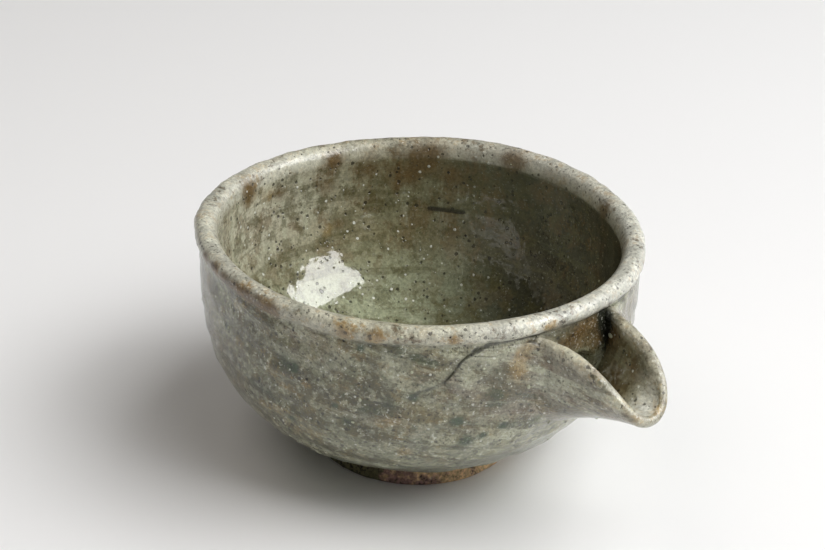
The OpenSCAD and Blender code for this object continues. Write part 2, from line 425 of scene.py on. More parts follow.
# Patterns that the glaze is laid on with: scale, detail, roughness, shift, stretch, and whether they lean
# with the ash, which fell from one side
patterns = {
    "broad": (36.0, 4.0, 0.6, 0.0, (0.6, 0.6, 1.2), True),
    "mottle": (105.0, 6.0, 0.7, 2.0, plain, False),
    "patch": (190.0, 5.0, 0.68, 7.0, plain, False),
    "freckle": (430.0, 3.0, 0.65, 9.0, plain, False),
    "fine": (900.0, 4.0, 0.75, 5.0, plain, False),
    "crystals": (1300.0, 2.0, 0.6, 4.0, plain, False),
    "bands": (170.0, 6.0, 0.64, 1.0, (0.13, 0.13, 1.0), True),
    "streaks": (420.0, 5.0, 0.66, 12.0, (0.12, 0.12, 1.0), True),
    "clouds": (66.0, 6.0, 0.68, 6.0, (0.6, 0.6, 1.2), True),
    "drips": (240.0, 5.0, 0.65, 3.0, (1.0, 1.0, 0.1), False),
    "rings": (320.0, 4.0, 0.62, 8.0, (0.08, 0.08, 1.0), False),
    "ripple": (270.0, 1.5, 0.5, 11.0, plain, False),
}
# Grains, specks and pits: cells to a metre, share of cells outside, what the inside adds, size and softness
specks = [(500.0, 0.2, 0.12, 0.2, 0.08), (540.0, 0.25, 0.25, 0.27, 0.09), (400.0, 0.2, 0.1, 0.14, 0.1)]


def towardLampSide(x, y):
    lean = math.radians(glaze["slantTurn"])
    return x * math.cos(lean) + y * math.sin(lean)


def newMaterial(name):
    mat = bpy.data.materials.new(name)
    mat.use_nodes = True
    tree = mat.node_tree
    return mat, tree, tree.nodes["Principled BSDF"], output(addNode(tree, "ShaderNodeTexCoord"), "Object")


def noise(where, scale, detail, rough, start, stretch=plain):
    values = {"Vector": where, "Scale": stretch, "Location": (start,) * 3}
    spot = addNode(where.tree, "ShaderNodeMapping", values)
    values = {"Vector": spot, "Scale": scale, "Detail": detail, "Roughness": rough}
    return addNode(where.tree, "ShaderNodeTexNoise", values)


def blend(share, under, over):
    values = {"Factor": share, "A": under, "B": over}
    return output(addNode(share.tree, "ShaderNodeMix", values, data_type="RGBA"), "Result")


def bumps(height, facts):
    return addNode(height.tree, "ShaderNodeBump", {"Height": height, "Strength": facts["bumpStrength"],
                   "Distance": facts["bumpDepth"]})


def grains(where, scale, share, size, soft):
    # some cells of a cell pattern hold a grain, each of its own size
    values = {"Vector": where, "Scale": scale, "Randomness": 1.0}
    cells = addNode(where.tree, "ShaderNodeTexVoronoi", values)
    mixed = addNode(where.tree, "ShaderNodeSeparateColor", {"Color": output(cells, "Color")})
    reach = output(mixed, "Green") * size + size * 0.4
    dot = (reach - output(cells, "Distance")).ramp(0.0, soft)
    return dot * output(mixed, "Red").calc("LESS_THAN", share)


def ashGlaze():
    mat, tree, shade, place = newMaterial("ashGlaze")
    x, y, z = apart(place)
    slanted = together(x, y, z + towardLampSide(x, y) * glaze["slant"])
    ruffle = addNode(tree, "ShaderNodeTexNoise", {"Vector": place, "Scale": glaze["raggedScale"],
                     "Detail": 1.0})
    ragged = addNode(tree, "ShaderNodeVectorMath", {0: output(ruffle, "Color"), 2: place,
                     1: (glaze["raggedReach"],) * 3}, operation="MULTIPLY_ADD")

    def zone(name):
        return output(addNode(tree, "ShaderNodeAttribute", attribute_name=name), "Fac")

    def pattern(name):
        *facts, leans = patterns[name]
        return noise(slanted if leans else place, *facts)

    def coat(share, over):
        nonlocal colour
        colour = blend(share, colour, glaze[over])

    inside = zone("inside")
    outside = 1 - inside
    rim = zone("rim")
    ochre = zone("ochre")
    belly = zone("belly")
    shaded = zone("shaded")
    sunny = zone("sunny")
    (broad, mottle, patch, freckle, fine, crystals,
     bands, streaks, clouds, drips, rings, ripple) = map(pattern, patterns)
    calm = 1 - belly * 0.55
    busy = outside * (1 - zone("lilac") * 0.65)
    # the pale flecks below keep out of the painted shade on the outer front-left
    light = outside * (1 - zone("dim") * 0.6)
    sunlit = inside * (1 - shaded)

    # the body of the glaze, with painted shade on the inner wall that faces away from the lamps, painted
    # light on the inner wall that faces them, and painted shade on the outer wall's front-left
    colour = blend(broad.ramp(0.42, 0.58), glaze["olive"], glaze["celadon"])
    coat(zone("lilac") * 0.8, "lilac")
    coat(inside * 0.7, "deep")
    coat(belly * (inside * 0.15 + 0.75), "celadon")
    coat(belly * outside * 0.5, "pale")
    # painted shade on the outer wall's front-left side, away from the lamps
    coat(zone("dim") * outside * 0.65, "umber")
    # painted shade on the inner wall that faces away from the lamps, and painted light on the inner wall that
    # faces them
    coat(shaded * inside * 0.9, "shade")
    coat(sunny * inside * 0.9, "cream")
    # clouds, bands and streaks of ash and iron
    coat(mottle.ramp(0.5, 0.58) * (outside * 0.1 + 0.5) * calm, "brown")
    coat(clouds.ramp(0.5, 0.57) * busy * calm * 0.95, "umber")
    coat((zone("smoky") * (clouds + 0.5)).ramp(0.2, 0.9) * 0.75, "umber")
    coat((zone("milky") * (clouds + 0.5)).ramp(0.2, 0.9) * 0.6, "pale")
    coat(clouds.ramp(0.45, 0.37) * light * 0.75, "pale")
    coat(bands.ramp(0.52, 0.6) * busy * 0.75, "umber")
    coat(bands.ramp(0.46, 0.39) * light * 0.7, "pale")
    coat((bands * 0.5 + mottle * 0.5).ramp(0.53, 0.59) * outside * 0.6, "pool")
    coat((clouds * 0.4 + patch * 0.6).ramp(0.54, 0.62) * busy * calm * 0.6, "ochre")
    coat(patch.ramp(0.46, 0.38) * busy * 0.48, "pale")
    coat(patch.ramp(0.55, 0.63) * busy * calm * 0.55, "umber")
    coat(streaks.ramp(0.54, 0.63) * busy * 0.5, "umber")
    coat(streaks.ramp(0.45, 0.37) * light * 0.35, "pale")
    coat(freckle.ramp(0.55, 0.63) * busy * 0.38, "pale")
    coat(freckle.ramp(0.45, 0.37) * busy * 0.6, "umber")
    # drips and rings inside
    coat(drips.ramp(0.46, 0.62) * mottle.ramp(0.4, 0.6) * inside * zone("upper") * 0.75, "brown")
    # pale drips, and below them pale rings, stay off the inner wall's painted shade
    coat(drips.ramp(0.44, 0.34) * sunlit * 0.4, "pale")
    coat(patch.ramp(0.49, 0.59) * inside * 0.55, "umber")
    coat(rings.ramp(0.53, 0.64) * inside * 0.45, "umber")
    coat(rings.ramp(0.45, 0.36) * sunlit * 0.2, "celadon")
    # iron and pooled ash where they really gather
    coat((ochre * (freckle + patch)).ramp(0.3, 1.0) * 0.52, "ochre")
    coat((zone("pool") * (fine * 0.8 + 0.6)).ramp(0.12, 0.75) * 0.9, "pool")
    # thin glaze on the rim and on the spout's edge, and a painted highlight on the rim
    coat(rim * mottle.ramp(0.66, 0.36, 0.25, 0.84), "cream")
    # painted highlight: the rim is paler at both sides of the picture, most on the side towards the lamps
    coat(rim * (shaded * 0.65 + sunny * 0.4), "grain")
    coat(rim * (ochre * (freckle + 0.4)).ramp(0.35, 0.85) * 0.75, "ochre")
    coat(rim * freckle.ramp(0.51, 0.6) * (ochre * 0.55 + patch.ramp(0.42, 0.6) * 0.45), "ochre")
    coat(rim * freckle.ramp(0.47, 0.38) * mottle.ramp(0.48, 0.6) * 0.7, "brown")
    coat((zone("brown") * (patch + 0.45)).ramp(0.1, 0.8) * 0.85, "brown")
    # the floor near the spout's tip: pale grains and painted light
    coat(zone("lip") * freckle.ramp(0.66, 0.4, 0.4, 0.9), "grain")
    # painted shade with pooled glaze in the corner behind the spout's far cheek
    coat(zone("cornerShade"), "gapShade")
    # crystals, feldspar, iron specks and pits
    bright = freckle.ramp(0.42, 0.6) * 0.55 + 0.06
    dull = freckle.ramp(0.6, 0.4) * 0.65 + 0.2
    coat(crystals.ramp(0.58, 0.68) * bright * (outside * 0.75 + 0.25), "grain")
    coat(crystals.ramp(0.44, 0.32) * dull * (outside * 0.7 + 0.3), "iron")
    grain, speck, pit = (grains(ragged, scale, inside * more + share, size, soft)
                         for scale, share, more, size, soft in specks)
    # fewer pale grains show in the inner wall's painted shade
    coat(grain * (inside * 0.2 + 0.7) * (1 - shaded * inside * 0.8), "grain")
    coat(speck * (inside * 0.06 + 0.7), "iron")
    coat(pit * (0.75 - inside * 0.2), "iron")
    # scratches, cracks, dark lines of pooled glaze and painted shade along the torn edge and under the rim
    # roll, and the bare hem above the foot
    coat(zone("scratch").ramp(0.2, 0.65) * 0.9, "iron")
    # cracks, and pooled glaze with painted shade along the torn edge and the neck
    coat((zone("crease") * (freckle * 2.4 - 0.35)).ramp(0.2, 0.8) * 0.85, "gapShade")
    coat((zone("bare") + zone("hem") * patch.ramp(0.42, 0.6)).calc("MINIMUM", 1.0), "bare")
    glint = fine.ramp(0.3, 0.7, 0.74, 1.26) * (outside * patch.ramp(0.36, 0.64, -0.2, 0.2) + 1)
    dusk = addNode(tree, "ShaderNodeHueSaturation", {"Color": colour, "Value": glint})
    rough = mottle.ramp(0.35, 0.65, 0.0, 0.06) + outside * 0.14 + rim * 0.16 + zone("bare") * 0.45 + 0.06
    skin = (fine * 0.7 + crystals * 0.4 + freckle * 0.5) * (outside * 0.96 + 0.04)
    skin = skin + patch * (outside * 0.45 + 0.05) + ripple * inside * 0.5
    skin = skin + streaks * outside * 0.5 + grain * 0.4 - speck * 0.3 - pit * 0.6 - zone("scratch") * 0.8
    # the glassy top of the glaze is calmer than the body under it
    flow = patch * (outside * 0.55 + 0.05) + freckle * (outside * 0.5 + 0.05) + fine * outside * 0.43
    flow = flow + ripple * inside * 0.6 - pit * 0.4 - speck * 0.3
    setInputs(shade, {"Base Color": dusk, "Roughness": rough, "IOR": glaze["gloss"],
              "Normal": bumps(skin, glaze), "Coat Normal": bumps(flow, glaze),
              "Coat Weight": glaze["coat"], "Coat Roughness": glaze["coatRough"],
              "Coat IOR": glaze["coatGloss"]})
    return mat


clay = {
    "darkSide": tone(150, 120, 112), "tan": tone(226, 194, 148), "ash": tone(208, 194, 162),
    "run": tone(104, 100, 74), "rough": 0.8, "shine": 0.3, "bumpStrength": 0.9, "bumpDepth": 0.8 * mm,
}


def bareClay():
    mat, tree, shade, place = newMaterial("bareClay")
    x, y, _ = apart(place)
    lampSide = towardLampSide(x, y)
    patches = noise(place, 210.0, 5.0, 0.7, 1.0)
    grit = noise(place, 900.0, 4.0, 0.7, 2.0)
    # the foot is darker on the side away from the lamps and tan on the side towards them
    colour = blend((lampSide * 9.0 + patches).ramp(0.47, 0.64), clay["darkSide"], clay["tan"])
    colour = blend((lampSide * 30.0 + patches).ramp(0.32, 0.22), colour, clay["run"])
    colour = blend(grains(place, 420.0, 0.25, 0.2, 0.12) * 0.6, colour, clay["ash"])
    colour = blend((patches * 0.5 + grit * 0.5).ramp(0.46, 0.4) * 0.85, colour, glaze["iron"])
    glint = grit.ramp(0.3, 0.7, 0.55, 1.45)
    dusk = addNode(tree, "ShaderNodeHueSaturation", {"Color": colour, "Value": glint})
    setInputs(shade, {"Base Color": dusk, "Roughness": clay["rough"],
              "Specular IOR Level": clay["shine"], "Normal": bumps(grit + patches, clay)})
    return mat


feldspar = {
    "Density": 14000.0, "Inside Share": 0.3, "Crowding": 2.5, "Small": 0.1 * mm, "Large": 0.75 * mm,
    "Rarity": 7.0, "Flatness": 0.55, "Dark Share": 0.3, "Dark Loss": 0.45, "Lowest": 9.0 * mm, "Seed": 5,
}


def feldsparGrain():
    mat, tree, shade, _ = newMaterial("feldsparGrain")
    dark = output(addNode(tree, "ShaderNodeAttribute", attribute_name="dark"), "Fac")
    setInputs(shade, {"Base Color": blend(dark, glaze["pale"], glaze["iron"]), "IOR": glaze["gloss"],
              "Roughness": glaze["grainRough"]})
    return mat


glazeMat = ashGlaze()
clayMat = bareClay()
grainMat = feldsparGrain()
handMade = handTree()
print("materials made")


# The spout's surface: a trough spanned between its seam on the wall and its edge
rootZ = neckZ - spout["rootDrop"]
tipZ = rootZ - spout["tipDrop"]
tipX = wallR + spout["length"]
halfRoot = spout["rootWidth"] / 2
halfMouth = spout["mouthWidth"] / 2


def seatAt(y, z):
    y = np.asarray(y, float)
    return np.stack([np.sqrt(wallRadius(z) ** 2 - y ** 2), y, np.asarray(z, float) + 0 * y], -1)


cheekCurve = [
    seatAt(-halfRoot, rootZ),
    (wallR + spout["cheekRun"], -halfMouth, rootZ - spout["cheekDip"]),
    (wallR + spout["crownRun"], -halfMouth, rootZ + spout["crownRise"]),
    (tipX, -halfMouth, tipZ),
    (tipX, 0, tipZ),
]
seamLow = rootZ - spout["keelDrop"] * 4 / 3
seamCurve = [(-halfRoot, rootZ), (-halfRoot * spout["rootFull"], seamLow),
             (halfRoot * spout["rootFull"], seamLow), (halfRoot, rootZ)]
sideEnd = spout["sideShare"] / 2
farSide = np.array((1, -1, 1))
flat = np.array((1, 1, 0))


def spoutEdge(t):
    t = np.asarray(t, float)
    near = bezier(cheekCurve, np.minimum(2 * t, 1))
    far = bezier(cheekCurve, np.minimum(2 - 2 * t, 1)) * farSide
    return np.where((t <= 0.5)[..., None], near, far)


def spoutSeam(w):
    p = bezier(seamCurve, w)
    return seatAt(p[..., 0], p[..., 1])


def spoutMiddle(s, w):
    s, w = np.broadcast_arrays(s, w)
    front = spoutEdge(sideEnd + (1 - 2 * sideEnd) * w)
    near = spoutEdge(sideEnd * s)
    zero = np.zeros_like(w)
    a = s[..., None]
    b = w[..., None]
    ends = (1 - a) * ((1 - b) * spoutSeam(zero) + b * spoutSeam(zero + 1))
    tips = a * ((1 - b) * spoutEdge(zero + sideEnd) + b * spoutEdge(zero + 1 - sideEnd))
    return (1 - a) * spoutSeam(w) + a * front + (1 - b) * near + b * near * farSide - ends - tips


def spoutNormal(s, w):
    s, w = np.broadcast_arrays(s, w)
    s = np.clip(s, *spout["normalRows"])
    w = np.clip(w, *spout["normalSides"])
    step = spout["normalStep"]
    along = spoutMiddle(s + step, w) - spoutMiddle(s - step, w)
    across = spoutMiddle(s, w + step) - spoutMiddle(s, w - step)
    return -unit(np.cross(along, across))


def spoutThick(s, w):
    return spout["lipThick"] + (spout["thick"] - spout["lipThick"]) * (1 - s) * np.sin(np.pi * w)


holeZ = seamCurve[0][1] - spout["keelDrop"] + spout["thick"] / 2 + bowl["holeDiameter"] / 2
edgeLine = spoutEdge(np.linspace(0, 1, 80))

# The luting's surface: clay smeared from the spout's root over the wall, ending in a torn edge high up
luting = {
    "columns": 190, "steps": 40, "capSteps": 8, "capTurn": 84, "start": 0.014, "fill": 0.28, "sunk": 0.8,
    "feather": 0.07, "tear": 0.5, "tearEnd": 0.11, "tearSoft": (-0.04, 0.03), "farTear": 0.5, "tearTail": 12,
    "crest": 2.1, "crestLow": 0.2, "crestRise": (0.02, 0.45), "crestFall": (0.5, 1.0),
    # the ragged edge: depth, waves and start of each wave train
    "ragged": [(0.5, 75, 0), (0.25, 190, 1), (0.15, 420, 2)],
    "skinReach": [(0, 6), (0.05, 8), (0.15, 10), (0.22, 6.5), (0.3, 2.6), (0.4, 1.6), (0.5, 1.4)],
    # where the smear ends on the wall: angle and height
    "endTurn": [(0, 25.3), (0.03, 28.6), (0.05, 30.7), (0.07, 32.4), (0.095, 34.2), (0.12, 36.0),
                (0.15, 32.5), (0.18, 26), (0.215, 18.5), (0.25, 14), (0.3, 11.4), (0.4, 5.3), (0.5, 0)],
    "endHeight": [(0, 64.4), (0.03, 62.9), (0.05, 61.5), (0.07, 59.7), (0.095, 56.0), (0.12, 53.0),
                  (0.15, 47.5), (0.18, 43), (0.215, 40.4), (0.25, 39), (0.3, 36.2), (0.4, 32.7), (0.5, 31.6)],
}


def reach(name, side):
    stops = luting[name]
    return np.interp(side, [a for a, _ in stops], [b for _, b in stops])


def lutingSurface():
    columns = luting["columns"]
    w = np.linspace(luting["start"], 1 - luting["start"], columns)
    t = np.linspace(0, 1, luting["steps"])
    side = np.minimum(w, 1 - w)
    ragged = sum(depth * np.sin(w * waves + start) for depth, waves, start in luting["ragged"])
    skinLeg = reach("skinReach", side)[:, None]
    normal = spoutNormal(np.zeros(columns), w)
    root = onWall(spoutMiddle(np.zeros(columns), w) + normal * spoutThick(0, w)[:, None] / 2)
    out = unit(root * flat)[:, None]
    rootTurn = np.degrees(np.arctan2(root[:, 1], root[:, 0]))
    turnRun = np.where(w < 0.5, -1, 1) * (reach("endTurn", side) + ragged) - rootTurn
    dropRun = reach("endHeight", side) - ragged - root[:, 2]
    run = spoutMiddle(np.ones(columns), w) - spoutMiddle(np.zeros(columns), w)
    span = np.linalg.norm(run, axis=1)[:, None]

    def alongWall(share):
        turn = rootTurn[:, None] + turnRun[:, None] * share
        return atWall(turn, root[:, 2, None] + dropRun[:, None] * share)

    def alongSkin(d):
        s = d / span
        ww = np.broadcast_to(w[:, None], s.shape)
        n = spoutNormal(s, ww)
        return spoutMiddle(s, ww) + n * spoutThick(s, ww)[..., None] / 2, n

    left = (1 - t) * (1 - t + luting["fill"] * t)
    gone = t * (t + luting["fill"] * (1 - t))
    onSkin, skinNormal = alongSkin(skinLeg * left)
    corner, _ = alongSkin(np.zeros((columns, 1)))
    top = alongWall(gone) + onSkin - corner
    top = top - skinNormal * (luting["feather"] * (1 - t) ** 6)[:, None]
    torn = luting["tear"] * softStep(luting["tearEnd"] - side, *luting["tearSoft"])
    torn = torn * np.where(w < 0.5, 1, luting["farTear"])
    lift = torn[:, None] * gone ** 3 - luting["feather"] * gone ** 8
    top = top + out * lift[..., None]
    back = 1 - 2 * t
    underSkin, underNormal = alongSkin(skinLeg * np.maximum(back, 0))
    underWall = alongWall(np.maximum(-back, 0)) - out * luting["sunk"]
    low = np.where((back > 0)[:, None], underSkin - underNormal * luting["sunk"], underWall)
    # both upper ends roll over like the spout's own edge
    rise = luting["crest"] * softStep(t, *luting["crestRise"])
    fall = (luting["crest"] - luting["crestLow"]) * softStep(t, *luting["crestFall"])
    rise = (rise - fall)[:, None]
    tops = list(top)
    lows = list(low)
    for k in range(1, luting["capSteps"] + 1):
        a = math.radians(luting["capTurn"]) * k / luting["capSteps"]
        for end, beside in ((0, 4), (-1, -5)):
            upward = unit(root[end] - root[beside])
            base = low[end] + upward * rise * math.sin(a)
            place = len(tops) if end else 0
            tops.insert(place, base + (top[end] - low[end]) * math.cos(a))
            lows.insert(place, base)
    return w, top, np.array(tops), np.array(lows)


lutingW, lutingTop, lutingTops, lutingLows = lutingSurface()

# Where the glaze differs: angle round the bowl from the spout, height, size and strength of each spot
spots = {
    "ochreOut": [(-16.5, 61, 3.2, 1), (-18, 56, 4, 0.8), (-16, 51, 4, 0.5), (-45, 27.6, 3.4, 0.9),
                 (-70, 56, 5, 0.5), (-59, 57, 4, 0.4), (-52, 39, 4, 0.5), (-47, 41, 3.5, 0.5),
                 (-100, 40, 6, 0.3), (140, 50, 6, 0.6), (170, 30, 5, 0.5), (60, 48, 6, 0.5),
                 (95, 28, 5, 0.6)],
    "ochreIn": [(-163, 64, 5, 0.9), (-172, 61, 4, 0.8), (-150, 60, 5, 0.6), (167, 44, 3.5, 0.7),
                (164, 66, 3, 0.8)],
    "poolOut": [(-32, 40.5, 2.4, 0.9), (-29, 32.4, 2.8, 0.8), (-24.6, 34.4, 1.4, 0.9), (-19.7, 37, 1.6, 0.9),
                (-10, 36, 3.5, 0.5), (-77, 52, 4, 0.5), (-49, 45.5, 4, 0.5), (-60, 37.4, 2.4, 0.6),
                (-74, 51, 1.3, 1), (-63, 42.4, 1.2, 0.9), (-78, 32, 1.3, 0.9), (-101, 52, 1.3, 0.9),
                (-43, 48.7, 1.6, 0.9), (-56, 62.5, 1.3, 0.9), (120, 44, 4, 0.6), (155, 36, 3, 0.7),
                (40, 30, 4, 0.6), (-140, 46, 4.5, 0.5), (-160, 30, 3, 0.6)],
    "brownWall": [(0, 60, 5, 0.9), (-7, 58, 4, 0.7), (7, 57, 4, 1), (4, 62, 3, 0.8)],
    "brownIn": [(164, 66, 3, 0.8), (-162, 65, 5, 0.9), (-177, 60, 4, 0.6), (166, 58, 4, 0.6),
                (153, 62, 4, 0.7), (142, 59, 5, 0.7), (163, 45, 2.5, 0.6), (136, 64, 5, 0.8),
                (128, 59, 4, 0.8), (109, 66, 4, 0.7), (67, 66, 3, 0.8), (90, 60, 5, 0.5)],
    # cornerShade: painted shade, with dark pooled glaze, in the corner between the wall and the spout's far
    # cheek
    "cornerShade": [(9, 63.6, 2.5, 1.3), (9.3, 61.5, 2.3, 1.3), (9.8, 59.5, 2, 1.3), (10.2, 57.5, 1.7, 1.3),
             (10.6, 55, 1.4, 1.3), (11, 52.5, 1.1, 1.3)],
    "smoky": [(-88, 55, 9, 0.7), (-74, 51, 8, 0.7), (-53, 46, 8, 0.9), (-61, 40, 7, 0.6),
              (-97, 42, 9, 0.5), (-31, 58, 6, 0.6), (-24, 44, 6, 0.5), (-24, 56, 7, 0.8),
              (-17, 50, 7, 0.6), (150, 50, 10, 0.7), (100, 40, 9, 0.6), (-150, 45, 9, 0.6)],
    "milky": [(-62, 59, 6, 0.7), (-48, 57, 6, 0.6), (-40, 34, 8, 0.8), (-24, 30, 8, 0.8),
              (-8, 34, 5, 0.9), (-45, 51, 5, 0.6), (-78, 42, 6, 0.5), (170, 55, 9, 0.7),
              (125, 32, 9, 0.7), (60, 36, 8, 0.6)],
    "grainy": [(-28, 57, 5, 1), (-26, 51, 5, 1), (-31, 48, 5, 1), (-42, 42, 5, 1), (-36, 38, 5, 1),
               (-70, 40, 6, 1), (-55, 50, 6, 1), (-95, 50, 7, 1), (120, 45, 8, 1), (-160, 40, 8, 1),
               (70, 40, 7, 1)],
}
# Burns on the rim by angle and size, a row of brown ones, and ochre spots along the spout's edge
burns = {
    "ochreRim": [(-105, 4), (-91, 5), (-82, 4), (-60, 4), (-52, 3.5), (-34, 2.6), (-10, 3),
                 (33, 1.8), (77, 3), (110, 4), (137, 4), (165, 3), (-162, 4), (-135, 2.5)],
    "ochreDrop": 0.5, "brownRim": [-112, -106, -100, -95, -90, -85, -80], "brownDrop": 0.8, "brownSize": 2.8,
    "brownStrength": 1.2, "edge": [0.12, 0.25, 0.37, 0.46, 0.52, 0.57, 0.63, 0.8], "edgeSize": 1.9,
    "backStrength": 0.35, "troughStrength": 0.45,
}
# Scratches inside: both ends by angle and height, width and strength
scratches = [((134.7, 48), (124, 47.6), 0.7, 1), ((157.6, 44), (147, 45.7), 0.45, 0.3)]
# Where each zone starts and where it is full, in millimetres or as the cosine of an angle
fades = {
    "inside": (1.2, 3), "aboveFoot": (0.5, 2), "pastRoll": (2.2, 4.4), "rim": (-0.6, 0.8),
    "rimEnd": (3.4, 5.4), "hem": (-2.4, -0.6), "bareTop": (-0.4, -0.1), "bareSide": (0.2, 0.8),
    "backward": (0.2, 0.9), "sunny": (0.1, 0.95), "sunnyHeight": (24, 58), "shaded": (-0.3, 0.7),
    "shadedHeight": (8, 24), "dim": (0.2, 0.95), "dimHeight": (6, 26), "dimEnd": (57, 64),
    "belly": (-42, -24), "upper": (40, 62),
}
# Width, strength and power of the zones that follow a line
stripes = {"undercut": (0.6, 0.3, 2), "lilac": (9, 1, 2), "footEdge": (0.7, 0.5, 2), "spoutEdge": (2.3, 1, 4),
           "shoulder": (1.5, 0.8, 4)}
# Angles that two zones face, the height of the thin edge above the foot, how far from the axis the bright
# and the shaded side of the inside part, and how far the shoulder stands off the wall
sites = {"backward": 115, "leftward": -95, "footEdge": 0.6, "axisClear": 40, "shoulderLift": 1.5}


def nearPath(p, path):
    # shortest distance from each point to a run of straight lines
    best = np.full(len(p), 1e9)
    for a, b in zip(path, path[1:]):
        along = b - a
        t = np.clip(((p - a) @ along) / (along @ along), 0, 1)
        best = np.minimum(best, np.linalg.norm(p - a - t[:, None] * along, axis=1))
    return best


def wallLine(*stops):
    return [atWall(angle, height) for angle, height in stops]


tearLine = list(lutingTop[lutingW < luting["tearEnd"]][::-1, -1])
tearLine += list(lutingTops[1][::-1])[:-luting["tearTail"]]
# Dark lines of pooled glaze and painted shade along the neck under the rim roll, down from the torn edge and
# under the spout's keel, and cracks and folds in the skin: angles and heights along a line on the wall, its
# width and its strength
creases = [
    ((-11, 65), (-16, 64.9), (-20, 64.8), (-23, 64.6), (-25.3, 64.3), (-27, 63.6), (-29, 62.8), 0.7, 1.0),
    ((-35.2, 54.4), (-37.9, 51.9), (-42.4, 50), (-43.8, 47.8), 1.0, 0.7),
    ((-20, 51.8), (-21.5, 49.5), (-23, 46.3), 0.7, 0.6),
    ((-76.5, 52), (-74, 51), (-72, 50.2), 0.6, 0.9),
    ((-64, 38.6), (-60, 37.4), (-56.5, 36.4), 0.6, 0.8),
    ((-53, 46.3), (-48, 45), 0.6, 0.8),
    ((-25.5, 48), (-27.5, 46.5), 0.7, 0.7),
    ((-14, 41.5), (-11.8, 40.7), (-7.5, 38.9), (-1.7, 35.6), 0.9, 0.4),
]
creases = [(wallLine(*stops), width, strength) for *stops, width, strength in creases]
# the smear's torn edge gets a dark line of pooled glaze and painted shade
creases.insert(0, (tearLine, 0.5, 1.0))

# The spout's near edge carries on over the smear as a rounded shoulder
shoulder = wallLine((-13, 64), (-15.5, 63.9), (-17.5, 62.8), (-18.8, 61), (-19.3, 59.5))
shoulder = [p + sites["shoulderLift"] * unit(p * flat) for p in shoulder]
lilacLine = wallLine((-14, 58), (-22, 48), (-12, 44))
insideTable = wallIn(np.linspace(0, 1, 200))


def wallInside(turn, z):
    return aroundAxis(np.interp(z, insideTable[:, 1], insideTable[:, 0]), turn, z)


def underRim(turn, z):
    return aroundAxis(wallR - bowl["wall"], turn, z)


def glow(p, centre, size, strength=1):
    return strength * np.exp(-((p - centre) ** 2).sum(1) / size ** 2)


def spotted(p, name, place=atWall):
    return sum(glow(p, place(turn, z), size, strength) for turn, z, size, strength in spots[name])


def stripe(distance, width, strength, power=2):
    return strength * np.exp(-(distance / width) ** power)


def fade(x, name):
    return softStep(x, *fades[name])


def sharedZones(piece):
    p = np.array([kept.vector for kept in piece.data.attributes["rest"].data], float) / mm
    r = np.linalg.norm(p[:, :2], axis=1)
    z = p[:, 2]
    rimHigh = rollC[1]
    ochre = spotted(p, "ochreOut") + spotted(p, "ochreIn", wallInside)
    for turn, size in burns["ochreRim"]:
        ochre += glow(p, aroundAxis(rimR, turn, rimHigh - burns["ochreDrop"]), size)
    for t in burns["edge"]:
        ochre += glow(p, spoutEdge(t), burns["edgeSize"])
    brown = spotted(p, "brownIn", underRim) + spotted(p, "brownWall")
    for turn in burns["brownRim"]:
        centre = aroundAxis(rimR, turn, rimHigh - burns["brownDrop"])
        brown += glow(p, centre, burns["brownSize"], burns["brownStrength"])
    lit = towardLampSide(p[:, 0], p[:, 1]) / np.maximum(r, sites["axisClear"])
    leftward = np.cos(np.arctan2(p[:, 1], p[:, 0]) - math.radians(sites["leftward"]))
    zones = {name: spotted(p, name) for name in ("smoky", "milky", "cornerShade", "grainy")}
    zones.update(
        ochre=ochre, brown=brown, pool=spotted(p, "poolOut"),
        crease=sum(stripe(nearPath(p, path), width, strength) for path, width, strength in creases),
        # sunny is the half away from the lamps, whose inner wall faces them, and shaded the half towards
        # them, whose inner wall turns away: masks for painted light and painted shade
        sunny=fade(-lit, "sunny") * fade(z, "sunnyHeight"),
        shaded=fade(lit, "shaded") * fade(z, "shadedHeight"),
        # dim: the outer front-left, away from the lamps, for painted shade
        dim=fade(leftward, "dim") * fade(z, "dimHeight") * (1 - fade(z, "dimEnd")),
        belly=fade(-z, "belly"), upper=fade(z, "upper"))
    return p, r, z, zones


def paintBowl(piece):
    p, r, z, zones = sharedZones(piece)
    low = foot["height"]
    wall = fade(wallRadius(z) - r, "inside") * fade(z - low, "aboveFoot")
    zones["inside"] = np.where(z > neckZ, fade(rollC[0] - r, "pastRoll"), wall)
    rim = fade(z - neckZ, "rim") * (1 - fade(rollC[0] - r, "rimEnd"))
    # pooled glaze and painted shade in the groove under the rim roll
    zones["pool"] += stripe(np.hypot(r - wallR, z - neckZ), *stripes["undercut"])
    zones["scratch"] = sum(stripe(nearPath(p, [wallInside(*start), wallInside(*stop)]), width, strength)
                           for start, stop, width, strength in scratches)
    zones["hem"] = fade(low - z, "hem")
    zones["bare"] = fade(low - z, "bareTop") * fade(joinR - r, "bareSide")
    zones["lilac"] = stripe(nearPath(p, lilacLine), *stripes["lilac"])
    backward = np.cos(np.arctan2(p[:, 1], p[:, 0]) - math.radians(sites["backward"]))
    zones["brown"] += rim * fade(backward, "backward") * burns["backStrength"]
    # the glaze is thin again where it ends above the foot
    ending = stripe(z - low - sites["footEdge"], *stripes["footEdge"])
    zones["rim"] = np.maximum(rim, ending * (1 - zones["bare"]))
    keepZones(piece, zones)


def paintSpout(piece, inside, lip):
    p, _, _, zones = sharedZones(piece)
    # the floor near the tip, pale with painted light, counts as rim too
    rim = np.maximum(stripe(nearPath(p, edgeLine), *stripes["spoutEdge"]), lip)
    zones.update(inside=inside, lip=lip, lilac=1 - inside)
    zones["brown"] += inside * burns["troughStrength"] * (1 - rim)
    zones["rim"] = np.maximum(rim, stripe(nearPath(p, shoulder), *stripes["shoulder"]))
    # the spout's trough is lit from above, so no side of it lies in the bowl's own shade
    zones["shaded"] = 0 * inside
    keepZones(piece, zones)


